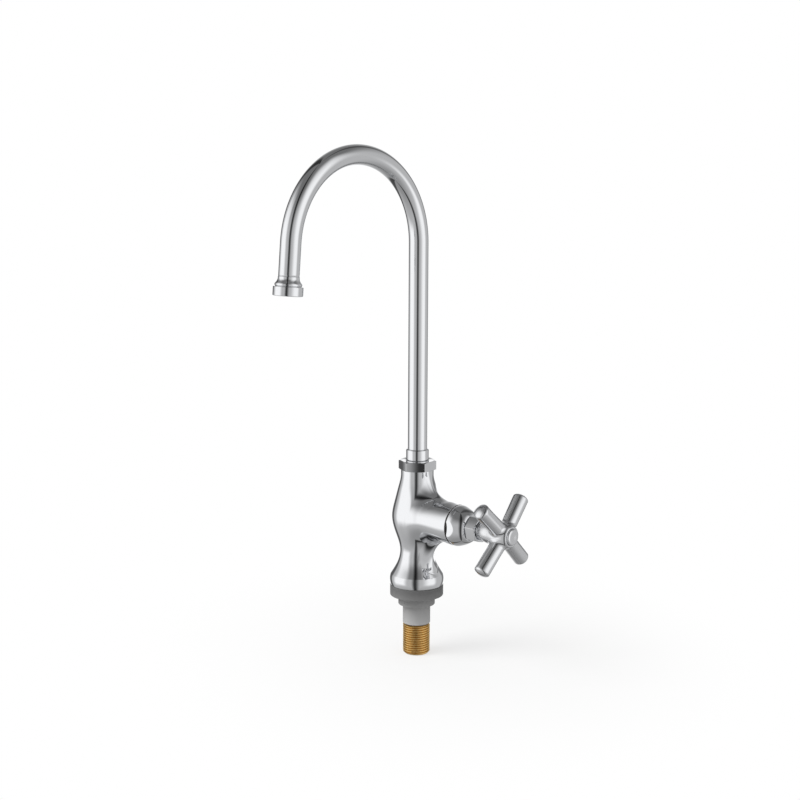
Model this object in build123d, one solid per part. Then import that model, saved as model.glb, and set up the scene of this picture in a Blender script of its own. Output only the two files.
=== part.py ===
from build123d import *
import math
import os

# A deck-mounted basin tap: one cross handle at the side, a tall swivelling swan-neck spout on top,
# and one threaded inlet tail below.  Millimetres.  Z is up, the spout reaches towards -Y at rest,
# and the handle stands out along +X.  The origin is on the body's upright axis, in the deck's face.

# Foot collar and inlet tail
flange_r = 20.6
flange_h = 8.4
spigot_r = 14.2
spigot_h = 7.5
sleeve_r = 10.65
sleeve_bottom = -22.6
collar_bore_r = 8.5
tail_bottom = -47.0
thread_r = 10.48
thread_pitch = 1.814
thread_depth = 1.16
thread_crest = 0.4
thread_root = 0.3
thread_lead = 0.5
thread_below_sleeve = 0.3
tail_neck_r = 8.4
waterway_r = 6.0
tail_grip = 12.0
tail_grip_r = 8.33

# Column of the body, turned about Z
foot_z = flange_h
foot_r = 21.1
foot_bottom_r = 20.3
foot_widest = 5.4
foot_top = (20.4, 17.1)
cove_mid = (15.3, 25.7)
waist = (13.1, 35.2)
lower_cone = (16.2, 47.8)
belly = (19.6, 62.8)
upper_cone = (17.3, 75.4)
shoulder = (13.9, 90.2)
neck_r = 12.75
neck_bottom = 91.4
neck_top = 99.1

# Valve boss, on a level axis along X
valve_z = 62.2
boss_r = 14.4
boss_flare_from = 32.0
boss_end = 41.3
boss_end_r = 15.6
boss_blend = 16.0
chamber_r = 9.5
chamber_from = 4.0
bonnet_thread_r = 10.5
bonnet_thread_from = 32.0
seat_pocket_r = 8.5
seat_from = -1.0
back_chamber_r = 6.5
back_chamber_from = -14.0

# Waterways inside the body
inlet_r = 6.5
inlet_top = 42.0
riser_from = (0, 0, 37.0)
riser_to = (-10.5, 0, 58.5)
riser_r = 4.6
outlet_from = (13.0, 0, 66.0)
outlet_to = (0, 0, 80.0)
outlet_r = 4.5

# Spout socket and its nut
socket_r = 8.3
socket_bottom = 76.0
socket_top = 101.6
socket_thread_r = 10.9
thrust_washer_h = 0.7
thrust_washer_play = 0.2
spout_nut_flats = 25.6
spout_nut_top = 106.3
spout_nut_lip = 2.0
spout_nut_turn = 33.0
nut_chamfer = 1.6
fit_gap = 0.05
nut_lip_gap = 0.25

# Spout
tube_r = 7.5
tube_wall = 1.0
bend_r = 65.1
bend_centre_z = 271.6
outlet_tilt = 5.0
leg_length = 24.4
spout_tail_bottom = 78.5
spout_tail_flange_r = 9.9
spout_collar_r = 8.8
spout_collar_top = 115.1
spout_collar_chamfer = 0.6
spout_collar_chamfer_h = 0.8
spout_tail_bore_r = 5.8
tube_bottom = 104.5
o_ring_section = 0.9
o_ring_groove = 2.25
o_ring_places = (84.0, 93.0)
bush_gap = 0.1

# Outlet end, heights measured along the outflow from the tube's end
bell_overlap = 1.5
bell_top_r = 7.9
bell_skirt = (9.25, 2.2)
bell_r = 9.75
bell_full_from = 3.9
bell_rim = (9.65, 4.7)
bell_thread_from = 5.0
tube_stop = 0.8
bell_bore_r = 7.6
bell_thread_r = 9.3
bell_thread_to = 8.4
housing_from = 5.2
housing_to = 11.8
housing_r = 10.75
housing_lip = 0.6
housing_lip_r = 8.3
housing_edge = 0.5
insert_top = 3.6
insert_flange_from = 9.4
insert_flange_to = 10.2
insert_bore_r = 6.2
insert_play = 0.2
aerator_play = 0.1

# Headwork on the valve axis, places given as X
bonnet_r = 15.6
bonnet_edge = 0.5
bonnet_rim_h = 1.4
bonnet_dome_low = (14.5, 48.0)
bonnet_dome_high = (12.3, 52.7)
bonnet_flats = 27.0
bonnet_dome_end = 55.5
bonnet_dome_end_r = 9.7
gland_spigot_end = 61.2
gland_spigot_r = 7.2
gland_bore_r = 5.8
bonnet_nose = 32.0
bonnet_mouth_r = 7.45
bonnet_mouth_depth = 5.0
gland_floor = 1.6
bonnet_washer_h = 0.8
bonnet_washer_inset = 0.3
spindle_thread_r = 6.0
spindle_thread_from = 36.0
spindle_thread_to = 46.5
spindle_foot_r = 6.8
spindle_foot_h = 6.0
stem_r = 4.0
stem_clearance = 0.3
packing_nut_flats = 17.4
packing_nut_from = 55.8
packing_nut_to = 65.0
packing_nut_turn = 15.0
packing_nut_chamfer = 0.6
packing_from = 54.4
packing_to = 59.6
follower_to = 62.8

# Valve's moving end
seat_to = 4.0
seat_lip = 0.8
seat_lip_slope = 0.6
seat_orifice_r = 5.0
closed_gap = 0.1
valve_washer_r = 7.6
valve_washer_h = 3.6
jumper_r = 8.2
jumper_plate_h = 2.6
jumper_stem_r = 2.9
jumper_stem_h = 10.0
jumper_end_gap = 0.3
washer_nut_flats = 6.0
washer_nut_h = 2.4
washer_nut_chamfer = 0.5
washer_stud_r = 1.6

# Cross handle on the valve axis
hub_from = 66.6
hub_neck_r = 7.0
hub_low = (7.7, 69.4)
hub_middle = (8.9, 75.8)
hub_r = 10.2
hub_shoulder = (9.3, 90.2)
hub_face_r = 7.2
arm_x = 85.8
arm_root_r = 5.9
arm_tip_r = 6.1
arm_reach = 34.8
arm_dome = 3.0
arm_dome_shoulder = (0.28, 0.68)
arm_turn = 2.0
arm_lean = 4.0
hub_front = 93.6
arm_blend = 2.5
square_side = 5.6
square_from = 70.0
square_to = 84.0
screw_hole_depth = 9.0
handle_screw_r = 2.0
handle_screw_head_r = 3.6
screw_seat = 87.0
screw_head_h = 2.6
screw_length = 11.0
screw_clearance = 0.2
screw_slot_w = 1.0
screw_slot_depth = 0.8
index_r = 6.2
index_seat = 2.4
index_dome = 1.4
index_edge = 0.3


def turned(outline):
    """A solid of revolution about Z from (radius, height) corners."""
    return revolve(Plane.XZ * make_face(Polyline(*outline, close=True)), Axis.Z)


def along_valve(part):
    """Turn a piece made about Z so that its height becomes X on the valve axis."""
    return Pos(0, 0, valve_z) * Rot(0, 90, 0) * part


def rod(radius, low, high):
    return Pos(0, 0, low) * Cylinder(radius, high - low, align=(Align.CENTER, Align.CENTER, Align.MIN))


def ring(inner_r, outer_r, low, high):
    return rod(outer_r, low, high) - rod(inner_r, low, high)


def rod_between(radius, start, end):
    start, end = Vector(start), Vector(end)
    run = end - start
    plane = Plane(origin=start, z_dir=run)
    return plane * Cylinder(radius, run.length, align=(Align.CENTER, Align.CENTER, Align.MIN))


def hexagon(flats, low, high, chamfer_top=0.0, chamfer_bottom=0.0, turn=0.0):
    """A hexagon bar with its corners turned down to a cone at either end."""
    corner_r = flats / math.sqrt(3)
    bar = Pos(0, 0, low) * extrude(RegularPolygon(corner_r, 6, rotation=turn), high - low)
    slope = math.tan(math.radians(30))
    past = corner_r + 0.01
    outline = [
        (0, low),
        (corner_r - chamfer_bottom, low),
        (past, low + (past - corner_r + chamfer_bottom) * slope),
        (past, high - (past - corner_r + chamfer_top) * slope),
        (corner_r - chamfer_top, high),
        (0, high),
    ]
    return bar & turned(outline)


def threaded_outline(top, bottom):
    """Corners of a pipe thread's ridges, drawn as rings one pitch apart, from the top down."""
    flank = (thread_pitch - thread_crest - thread_root) / 2
    count = int((top - bottom) / thread_pitch)
    outline = []
    for ridge in range(count):
        z = top - ridge * thread_pitch
        outline += [
            (thread_r, z),
            (thread_r, z - thread_crest),
            (thread_r - thread_depth, z - thread_crest - flank),
            (thread_r - thread_depth, z - thread_crest - flank - thread_root),
        ]
    return outline


def make_inlet_tail():
    """Brass tail: gripped in the body's foot, necked inside the collar, threaded below it."""
    thread_top = sleeve_bottom - thread_below_sleeve
    outline = [
        (waterway_r, tail_bottom),
        (waterway_r, foot_z + tail_grip),
        (tail_grip_r, foot_z + tail_grip),
        (tail_grip_r, foot_z),
        (tail_neck_r, foot_z),
        (tail_neck_r, thread_top),
    ]
    outline += threaded_outline(thread_top, tail_bottom + thread_lead)
    outline.append((thread_r - thread_depth, tail_bottom))
    return turned(outline)


def make_deck_collar():
    """Grey moulding under the foot: flange on the deck, spigot in the hole, sleeve round the tail."""
    return turned([
        (collar_bore_r, sleeve_bottom),
        (sleeve_r, sleeve_bottom),
        (sleeve_r, -spigot_h),
        (spigot_r, -spigot_h),
        (spigot_r, 0),
        (flange_r, 0),
        (flange_r, flange_h),
        (collar_bore_r, flange_h),
    ])


def column():
    """The turned column: foot, cove, waist, belly, shoulder and neck."""
    edges = [
        Line((0, foot_z), (foot_bottom_r, foot_z)),
        ThreePointArc((foot_bottom_r, foot_z), (foot_r, foot_z + foot_widest), foot_top),
        Spline(foot_top, cove_mid, waist, tangents=((-0.6, 1.0), (0, 1))),
        Spline(waist, lower_cone, belly, upper_cone, shoulder, tangents=((0, 1), (-0.25, 1))),
        Line(shoulder, (neck_r, neck_bottom)),
        Line((neck_r, neck_bottom), (neck_r, neck_top)),
        Line((neck_r, neck_top), (socket_thread_r, neck_top)),
        Line((socket_thread_r, neck_top), (socket_thread_r, socket_top)),
        Line((socket_thread_r, socket_top), (0, socket_top)),
        Line((0, socket_top), (0, foot_z)),
    ]
    return revolve(Plane.XZ * make_face(edges), Axis.Z)


def boss():
    """The side boss for the headwork, flared at its mouth."""
    edges = [
        Line((0, 0), (boss_r, 0)),
        Line((boss_r, 0), (boss_r, boss_flare_from)),
        Spline((boss_r, boss_flare_from), (boss_end_r, boss_end), tangents=((0, 1), (0.16, 1))),
        Line((boss_end_r, boss_end), (0, boss_end)),
        Line((0, boss_end), (0, 0)),
    ]
    return along_valve(revolve(Plane.XZ * make_face(edges), Axis.Z))


def make_body():
    """Cast body: column and boss blended together, hollowed for the waterways."""
    outside = column() + boss()
    blend = [
        edge for edge in outside.edges()
        if edge.geom_type not in (GeomType.LINE, GeomType.CIRCLE)
        and edge.bounding_box().size.Y > boss_r
    ]
    outside = fillet(blend, boss_blend)
    hollow = rod(tail_grip_r + fit_gap, foot_z, foot_z + tail_grip)
    hollow += rod(inlet_r, foot_z, inlet_top)
    hollow += rod_between(riser_r, riser_from, riser_to)
    hollow += along_valve(rod(back_chamber_r, back_chamber_from, seat_from))
    hollow += along_valve(rod(seat_pocket_r + fit_gap, seat_from, chamber_from))
    hollow += along_valve(rod(chamber_r, chamber_from, bonnet_thread_from))
    hollow += along_valve(rod(bonnet_thread_r, bonnet_thread_from, boss_end))
    hollow += rod_between(outlet_r, outlet_from, outlet_to)
    hollow += rod(socket_r, socket_bottom, socket_top)
    return outside - hollow


def make_valve_seat():
    """Seat ring pressed into the web, with a raised lip round its orifice."""
    return along_valve(turned([
        (seat_orifice_r, seat_from),
        (seat_pocket_r, seat_from),
        (seat_pocket_r, seat_to),
        (seat_orifice_r + seat_lip + seat_lip_slope, seat_to),
        (seat_orifice_r + seat_lip, seat_to + seat_lip),
        (seat_orifice_r, seat_to + seat_lip),
    ]))


def make_bonnet():
    """Headwork cover: threaded nose, round flange with two spanner flats, dome and gland spigot."""
    bore_r = spindle_thread_r + fit_gap
    nose_r = bonnet_thread_r - fit_gap
    stem_hole_r = stem_r + fit_gap
    seating = boss_end + bonnet_washer_h
    rim_top = seating + bonnet_rim_h
    neck = packing_from - gland_floor
    profile = Polyline(
        (nose_r, seating),
        (nose_r, bonnet_nose),
        (bonnet_mouth_r, bonnet_nose),
        (bonnet_mouth_r, bonnet_nose + bonnet_mouth_depth),
        (bore_r, bonnet_nose + bonnet_mouth_depth),
        (bore_r, neck),
        (stem_hole_r, neck),
        (stem_hole_r, packing_from),
        (gland_bore_r, packing_from),
        (gland_bore_r, gland_spigot_end),
        (gland_spigot_r, gland_spigot_end),
        (gland_spigot_r, bonnet_dome_end),
        (bonnet_dome_end_r, bonnet_dome_end),
    )
    edge_r = bonnet_r - bonnet_edge
    rim = Spline((edge_r, seating), (bonnet_r, rim_top), tangents=((1, 0.4), (0, 1)))
    dome = Spline(
        (bonnet_r, rim_top),
        bonnet_dome_low,
        bonnet_dome_high,
        (bonnet_dome_end_r, bonnet_dome_end),
        tangents=((0, 1), (-0.9, 0.5)),
    )
    face = Line((nose_r, seating), (edge_r, seating))
    cover = along_valve(revolve(Plane.XZ * make_face([profile, face, rim, dome]), Axis.Z))
    slab_size = (bonnet_dome_end - seating, bonnet_r, 2 * bonnet_r)
    for side in (-1, 1):
        slab = Box(*slab_size, align=(Align.MIN, Align.CENTER, Align.CENTER))
        cover -= Pos(seating, side * (bonnet_flats + bonnet_r) / 2, valve_z) * slab
    return cover


def make_bonnet_washer():
    """Fibre washer between the boss and the bonnet's flange."""
    outer_r = boss_end_r - bonnet_washer_inset
    return along_valve(ring(bonnet_thread_r, outer_r, boss_end, boss_end + bonnet_washer_h))


def make_gland_packing():
    return along_valve(ring(stem_r + fit_gap, gland_bore_r - fit_gap, packing_from, packing_to))


def make_gland_follower():
    """Brass ring that the packing nut presses on the packing."""
    return along_valve(ring(stem_r + fit_gap, gland_bore_r - fit_gap, packing_to, follower_to))


def make_packing_nut():
    """Hexagon cap nut over the gland spigot."""
    nut = hexagon(
        packing_nut_flats,
        packing_nut_from,
        packing_nut_to,
        nut_chamfer,
        packing_nut_chamfer,
        packing_nut_turn,
    )
    nut -= rod(gland_spigot_r + fit_gap, packing_nut_from, follower_to)
    nut -= rod(stem_r + stem_clearance, follower_to, packing_nut_to)
    return along_valve(nut)


def make_jumper():
    """Brass jumper: plate behind the washer, stem in the spindle's bore, stud through the washer."""
    plate_from = seat_to + seat_lip + closed_gap + valve_washer_h
    plate_to = plate_from + jumper_plate_h
    return along_valve(turned([
        (0, plate_from - valve_washer_h - washer_nut_h),
        (washer_stud_r, plate_from - valve_washer_h - washer_nut_h),
        (washer_stud_r, plate_from),
        (jumper_r, plate_from),
        (jumper_r, plate_to),
        (jumper_stem_r, plate_to),
        (jumper_stem_r, plate_to + jumper_stem_h),
        (0, plate_to + jumper_stem_h),
    ]))


def make_valve_washer():
    """Rubber washer that closes on the seat's lip."""
    low = seat_to + seat_lip + closed_gap
    return along_valve(ring(washer_stud_r, valve_washer_r, low, low + valve_washer_h))


def make_washer_nut():
    """Small brass nut that holds the rubber washer on the jumper."""
    high = seat_to + seat_lip + closed_gap
    nut = hexagon(washer_nut_flats, high - washer_nut_h, high, 0, washer_nut_chamfer)
    return along_valve(nut - rod(washer_stud_r, high - washer_nut_h, high))


def make_spindle():
    """Spindle: bored for the jumper's stem, threaded in the bonnet, squared for the handle."""
    foot = seat_to + seat_lip + closed_gap + valve_washer_h + jumper_plate_h
    bore_end = foot + jumper_stem_h + jumper_end_gap
    outline = [
        (jumper_stem_r + fit_gap, foot),
        (spindle_foot_r, foot),
        (spindle_foot_r, foot + spindle_foot_h),
        (stem_r, foot + spindle_foot_h),
        (stem_r, spindle_thread_from),
        (spindle_thread_r, spindle_thread_from),
        (spindle_thread_r, spindle_thread_to),
        (stem_r, spindle_thread_to),
        (stem_r, square_to),
        (handle_screw_r, square_to),
        (handle_screw_r, square_to - screw_hole_depth),
        (0, square_to - screw_hole_depth),
        (0, bore_end),
        (jumper_stem_r + fit_gap, bore_end),
    ]
    spindle = turned(outline)
    shank_keep = rod(stem_r, foot, square_from)
    shank_keep += rod(spindle_foot_r, foot, square_from)
    square = Pos(0, 0, square_from) * Box(
        square_side, square_side, square_to - square_from, align=(Align.CENTER, Align.CENTER, Align.MIN)
    )
    return along_valve(spindle & (shank_keep + square))


def arm():
    """One handle arm along +X of the handle's own plane: a slow taper with a domed tip."""
    back, out = arm_dome_shoulder
    edges = [
        Line((0, 0), (0, arm_root_r)),
        Line((0, arm_root_r), (arm_reach - arm_dome, arm_tip_r)),
        Spline(
            (arm_reach - arm_dome, arm_tip_r),
            (arm_reach - back * arm_dome, out * arm_tip_r),
            (arm_reach, 0),
            tangents=((1, 0), (0, -1)),
        ),
        Line((arm_reach, 0), (0, 0)),
    ]
    return revolve(make_face(edges), Axis.X)


def make_handle():
    """Four-armed cross handle with its hub, bored for the spindle's square and the index."""
    hub_edges = [
        Line((0, hub_from), (hub_neck_r, hub_from)),
        Spline(
            (hub_neck_r, hub_from),
            hub_low,
            hub_middle,
            (hub_r, arm_x),
            hub_shoulder,
            (hub_face_r, hub_front),
            tangents=((0.1, 1), (-1, 0.6)),
        ),
        Line((hub_face_r, hub_front), (0, hub_front)),
        Line((0, hub_front), (0, hub_from)),
    ]
    handle = revolve(Plane.XZ * make_face(hub_edges), Axis.Z)
    for quarter in range(4):
        place = Pos(0, 0, arm_x) * Rot(0, 0, arm_turn + 45 + 90 * quarter) * Rot(0, arm_lean, 0)
        handle += place * arm()
    near_hub = 1.6 * hub_r
    root = [
        edge for edge in handle.edges()
        if edge.geom_type not in (GeomType.LINE, GeomType.CIRCLE)
        and edge.bounding_box().size.Z > arm_root_r
        and (edge.center() - Vector(0, 0, arm_x)).length < near_hub
    ]
    handle = fillet(root, arm_blend)
    handle -= rod(stem_r + stem_clearance, hub_from, square_from)
    handle -= Pos(0, 0, square_from) * Box(
        square_side + 2 * fit_gap,
        square_side + 2 * fit_gap,
        square_to - square_from,
        align=(Align.CENTER, Align.CENTER, Align.MIN),
    )
    handle -= rod(handle_screw_r + screw_clearance, square_to, hub_front)
    handle -= rod(handle_screw_head_r + screw_clearance, screw_seat, hub_front)
    handle -= rod(index_r + fit_gap, hub_front - index_seat, hub_front)
    return along_valve(handle)


def make_handle_screw():
    """Cheese-head screw that draws the handle on to the spindle's square."""
    shank = rod(handle_screw_r - fit_gap, screw_seat - screw_length, screw_seat)
    head = rod(handle_screw_head_r, screw_seat, screw_seat + screw_head_h)
    slot = Pos(0, 0, screw_seat + screw_head_h) * Box(
        2 * handle_screw_head_r,
        screw_slot_w,
        2 * screw_slot_depth,
    )
    return along_valve(shank + head - slot)


def make_index_button():
    """Plain index disc that closes the handle's front, slightly domed."""
    low = hub_front - index_seat
    rim = hub_front + index_edge
    edges = [
        Line((0, low), (index_r, low)),
        Line((index_r, low), (index_r, rim)),
        Spline((index_r, rim), (0, hub_front + index_dome), tangents=((-0.2, 1), (-1, 0))),
        Line((0, hub_front + index_dome), (0, low)),
    ]
    return along_valve(revolve(Plane.XZ * make_face(edges), Axis.Z))


def make_thrust_washer():
    """Nylon washer on the socket's rim, under the spout's flange."""
    inner_r = socket_r + thrust_washer_play
    outer_r = socket_thread_r - thrust_washer_play
    return ring(inner_r, outer_r, socket_top, socket_top + thrust_washer_h)


def make_spout_nut():
    """Hexagon union nut that keeps the spout in its socket."""
    lip_from = spout_nut_top - spout_nut_lip
    nut = hexagon(spout_nut_flats, neck_top, spout_nut_top, nut_chamfer, nut_chamfer / 2, spout_nut_turn)
    nut -= rod(socket_thread_r + fit_gap, neck_top, lip_from)
    nut -= rod(spout_collar_r + nut_lip_gap, lip_from, spout_nut_top)
    return nut


def make_spout_tail():
    """Brass tail of the spout: two ring grooves in the socket, flange under the nut, collar above."""
    body_r = socket_r - fit_gap
    flange_from = socket_top + thrust_washer_h + fit_gap
    flange_to = spout_nut_top - spout_nut_lip - fit_gap
    outline = [
        (spout_tail_bore_r, spout_tail_bottom),
        (body_r, spout_tail_bottom),
        (body_r, flange_from),
        (spout_tail_flange_r, flange_from),
        (spout_tail_flange_r, flange_to),
        (spout_collar_r, flange_to),
        (spout_collar_r, spout_collar_top - spout_collar_chamfer_h),
        (spout_collar_r - spout_collar_chamfer, spout_collar_top),
        (tube_r, spout_collar_top),
        (tube_r, tube_bottom),
        (spout_tail_bore_r, tube_bottom),
    ]
    tail = turned(outline)
    for place in o_ring_places:
        low, high = place - o_ring_groove / 2, place + o_ring_groove / 2
        tail -= ring(body_r - 2 * o_ring_section, 2 * body_r, low, high)
    return tail


def make_spout_o_rings():
    """Two rubber rings in the tail's grooves."""
    middle_r = socket_r - fit_gap - o_ring_section
    rings = [Pos(0, 0, place) * Torus(middle_r, o_ring_section) for place in o_ring_places]
    return Compound(children=rings)


def spout_line():
    """Centre line of the spout: up, round the bend towards -Y, and down the outlet leg."""
    turn = math.radians(180 - outlet_tilt)
    top = Vector(0, 0, bend_centre_z)
    middle = Vector(0, -bend_r * (1 - math.cos(turn / 2)), bend_centre_z + bend_r * math.sin(turn / 2))
    end = Vector(0, -bend_r * (1 - math.cos(turn)), bend_centre_z + bend_r * math.sin(turn))
    down = Vector(0, -math.sin(turn), math.cos(turn))
    return top, middle, end, down


def make_spout_tube():
    """Swan-neck tube, bent in one plane."""
    top, middle, end, down = spout_line()
    start = Vector(0, 0, tube_bottom)
    path = Wire([Line(start, top), ThreePointArc(top, middle, end), Line(end, end + down * leg_length)])
    section = Pos(start) * (Circle(tube_r) - Circle(tube_r - tube_wall))
    return sweep(section, path)


def at_outlet(part):
    """Place a piece made about Z, height 0 at the tube's end and growing along the outflow."""
    top, middle, end, down = spout_line()
    return Plane(origin=end + down * leg_length, x_dir=(1, 0, 0), z_dir=down) * part


def make_outlet_bell():
    """Bell brazed on the tube's end, with a thread below it for the aerator's housing."""
    bore_r = tube_r - tube_wall
    edges = [
        Spline(
            (bell_top_r, -bell_overlap),
            bell_skirt,
            (bell_r, bell_full_from),
            tangents=((0.1, 1), (0, 1)),
        ),
        Polyline(
            (bell_r, bell_full_from),
            bell_rim,
            (bell_thread_r, bell_thread_from),
            (bell_thread_r, bell_thread_to),
            (bell_bore_r, bell_thread_to),
            (bell_bore_r, tube_stop),
            (bore_r, tube_stop),
            (bore_r, 0),
            (tube_r, 0),
            (tube_r, -bell_overlap),
            (bell_top_r, -bell_overlap),
        ),
    ]
    return at_outlet(revolve(Plane.XZ * make_face(edges), Axis.Z))


def make_aerator_housing():
    """Ring that screws over the bell's thread and holds the aerator by its lip."""
    bore_r = bell_thread_r + fit_gap
    return at_outlet(turned([
        (bore_r, housing_from),
        (housing_r - housing_edge, housing_from),
        (housing_r, housing_from + housing_edge),
        (housing_r, housing_to - housing_edge),
        (housing_r - housing_edge, housing_to),
        (housing_lip_r, housing_to),
        (housing_lip_r, housing_to - housing_lip),
        (bore_r, housing_to - housing_lip),
    ]))


def make_aerator_washer():
    return at_outlet(ring(bell_bore_r, bell_thread_r - aerator_play, bell_thread_to, insert_flange_from))


def make_aerator_insert():
    """Plastic cartridge: barrel up in the bell, flange under the washer."""
    return at_outlet(turned([
        (insert_bore_r, insert_top),
        (bell_bore_r - insert_play, insert_top),
        (bell_bore_r - insert_play, insert_flange_from),
        (bell_thread_r - aerator_play, insert_flange_from),
        (bell_thread_r - aerator_play, insert_flange_to),
        (insert_bore_r, insert_flange_to),
    ]))


def make_aerator_screen():
    """Disc of wire mesh that the water leaves through."""
    return at_outlet(rod(bell_thread_r - aerator_play, insert_flange_to, housing_to - housing_lip))


def make_spout_bush():
    """Nylon bush at the bottom of the socket, which steadies the tail's lower end."""
    return ring(spout_tail_bore_r, socket_r, socket_bottom, spout_tail_bottom - bush_gap)


sub_parts = {
    "body": make_body,
    "inlet_tail": make_inlet_tail,
    "deck_collar": make_deck_collar,
    "valve_seat": make_valve_seat,
    "bonnet": make_bonnet,
    "bonnet_washer": make_bonnet_washer,
    "gland_packing": make_gland_packing,
    "gland_follower": make_gland_follower,
    "packing_nut": make_packing_nut,
    "spout_bush": make_spout_bush,
    "thrust_washer": make_thrust_washer,
    "spout_nut": make_spout_nut,
    "spout_tail": make_spout_tail,
    "spout_o_rings": make_spout_o_rings,
    "spout_tube": make_spout_tube,
    "outlet_bell": make_outlet_bell,
    "aerator_housing": make_aerator_housing,
    "aerator_washer": make_aerator_washer,
    "aerator_insert": make_aerator_insert,
    "aerator_screen": make_aerator_screen,
    "jumper": make_jumper,
    "valve_washer": make_valve_washer,
    "washer_nut": make_washer_nut,
    "spindle": make_spindle,
    "handle": make_handle,
    "handle_screw": make_handle_screw,
    "index_button": make_index_button,
}

os.makedirs("parts", exist_ok=True)
for name, make in sub_parts.items():
    export_step(make(), f"parts/{name}.step")
    print(name)
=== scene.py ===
import math

import bmesh
import bpy
import numpy as np
from mathutils import Matrix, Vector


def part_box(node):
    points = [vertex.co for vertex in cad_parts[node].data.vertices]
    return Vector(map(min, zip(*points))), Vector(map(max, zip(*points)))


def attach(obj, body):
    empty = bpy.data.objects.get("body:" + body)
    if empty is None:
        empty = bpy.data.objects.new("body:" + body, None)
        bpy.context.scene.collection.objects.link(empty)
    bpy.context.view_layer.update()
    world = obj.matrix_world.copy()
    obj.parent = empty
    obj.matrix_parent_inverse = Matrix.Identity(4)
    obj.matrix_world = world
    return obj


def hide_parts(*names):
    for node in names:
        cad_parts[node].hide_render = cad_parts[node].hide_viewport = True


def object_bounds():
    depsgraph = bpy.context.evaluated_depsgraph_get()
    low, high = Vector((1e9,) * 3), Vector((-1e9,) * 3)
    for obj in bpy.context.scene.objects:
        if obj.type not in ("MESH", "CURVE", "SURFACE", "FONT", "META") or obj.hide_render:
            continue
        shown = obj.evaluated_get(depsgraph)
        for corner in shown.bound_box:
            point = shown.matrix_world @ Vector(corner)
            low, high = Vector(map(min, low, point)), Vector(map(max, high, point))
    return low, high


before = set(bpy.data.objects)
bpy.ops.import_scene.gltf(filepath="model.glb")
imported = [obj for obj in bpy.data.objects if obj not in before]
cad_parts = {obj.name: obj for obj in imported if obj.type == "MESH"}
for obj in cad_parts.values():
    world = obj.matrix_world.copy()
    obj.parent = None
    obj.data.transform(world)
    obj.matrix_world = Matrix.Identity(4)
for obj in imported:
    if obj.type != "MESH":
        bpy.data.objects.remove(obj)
cad_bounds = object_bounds()

# A chromed basin tap: turned column with a side boss, headwork and cross handle, swan-neck spout with
# its aerator, grey deck collar and threaded brass tail.  Lengths here are millimetres, and become
# metres where a piece's mesh is filled.  Z is up, the spout reaches towards -Y, the handle is on +X.
MM = 0.001


def node_low(node):
    """Lowest corner of a frame node, in millimetres."""
    return np.array(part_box(node)[0]) / MM


def node_high(node):
    """Highest corner of a frame node, in millimetres."""
    return np.array(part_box(node)[1]) / MM


# Roundings of edges, and room in the threads and bores
crisp_edge = 0.2
turned_edge = 0.3
soft_edge = 0.5
thread_play = 0.05
bore_play = 0.25

# Column and boss.  A point of an outline is a radius and a height.
foot_z = node_low("body")[2]
foot_r = 21.1
foot_bottom_r = 20.3
foot_widest = 5.4
foot_top = (20.4, 17.1)
cove_mid = (15.3, 25.7)
waist = (13.1, 35.2)
lower_cone = (16.2, 47.8)
belly = (19.6, 62.8)
upper_cone = (17.3, 75.4)
shoulder = (14.4, 86.6)
neck_r = 12.75
neck_bottom = 95.4
neck_top = node_low("spout_nut")[2]
socket_thread_r = 10.9
socket_top = node_high("body")[2]
socket_r = 8.3
socket_bottom = node_low("spout_bush")[2]
tail_pocket_r = 8.38
inlet_r = 6.5
inlet_top = 42.0
valve_z = (node_low("index_button")[2] + node_high("index_button")[2]) / 2
boss_root_r = 15.2
boss_root_rise = 1.2
boss_end = node_high("body")[0]
boss_end_r = 15.6
boss_edge = 0.5
boss_edge_rounding = 0.35
boss_blend = 19.0
boss_swell = 0.35
boss_swell_full_from = 0.42
boss_swell_reach = (4.0, 31.5)
chamber_from = -1.0
chamber_r = 9.5
bonnet_thread_r = 10.5
bonnet_thread_from = 32.0
column_window_heights = (26.5, 98.4)
column_window_turn = 72.0

# Headwork
bonnet_washer_h = 0.8
seating = node_low("bonnet_washer")[0] + bonnet_washer_h
bonnet_nose = node_low("bonnet")[0]
bonnet_r = 15.6
bonnet_edge = 0.5
bonnet_rim_h = 1.4
bonnet_dome_low = (14.5, 48.0)
bonnet_dome_high = (12.3, 52.7)
bonnet_dome_end = 55.5
bonnet_dome_end_r = 9.7
bonnet_flats = 28.6
gland_spigot_r = 7.2
gland_spigot_end = node_high("bonnet")[0]
gland_bore_r = 5.8
gland_bore_from = 54.4
stem_hole_r = 4.05
bonnet_bore_r = 6.05
bonnet_bore_to = 52.8
bonnet_mouth_r = 7.45
bonnet_mouth_to = 37.0
bonnet_crease = 0.08
packing_nut_flats = 17.4
packing_nut_from = node_low("packing_nut")[0]
packing_nut_to = node_high("packing_nut")[0]
packing_nut_turn = 15.0
packing_nut_floor = 62.8
nut_chamfer = 1.6
packing_nut_chamfer = 0.6
nut_edge = 0.22
nut_crown = 0.86
nut_cone_angle = 30.0
nut_face_margin = 0.1

# Cross handle
hub_from = node_low("handle")[0]
hub_neck_r = 7.0
hub_low = (7.7, 69.4)
hub_middle = (8.9, 75.8)
hub_r = 10.2
arm_x = 85.8
hub_shoulder = (9.3, 90.2)
hub_face_r = 7.2
hub_front = node_high("handle")[0]
arm_root_r = 5.9
arm_tip_r = 6.1
arm_reach = 34.8
arm_dome = 3.0
arm_dome_shoulder_shares = (0.68, 0.28)
arm_count = 4
arm_turn = 47.0
arm_lean = 4.0
arm_blend = 3.6
hub_window = 71.6
square_from = 70.0
square_to = 84.0
handle_bore_r = 4.3
screw_hole_r = 2.2
screw_seat = 87.0
screw_pocket_r = 3.8
index_r = 6.2
index_seat = 2.4
index_rise = 1.4
index_edge = 0.35

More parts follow.
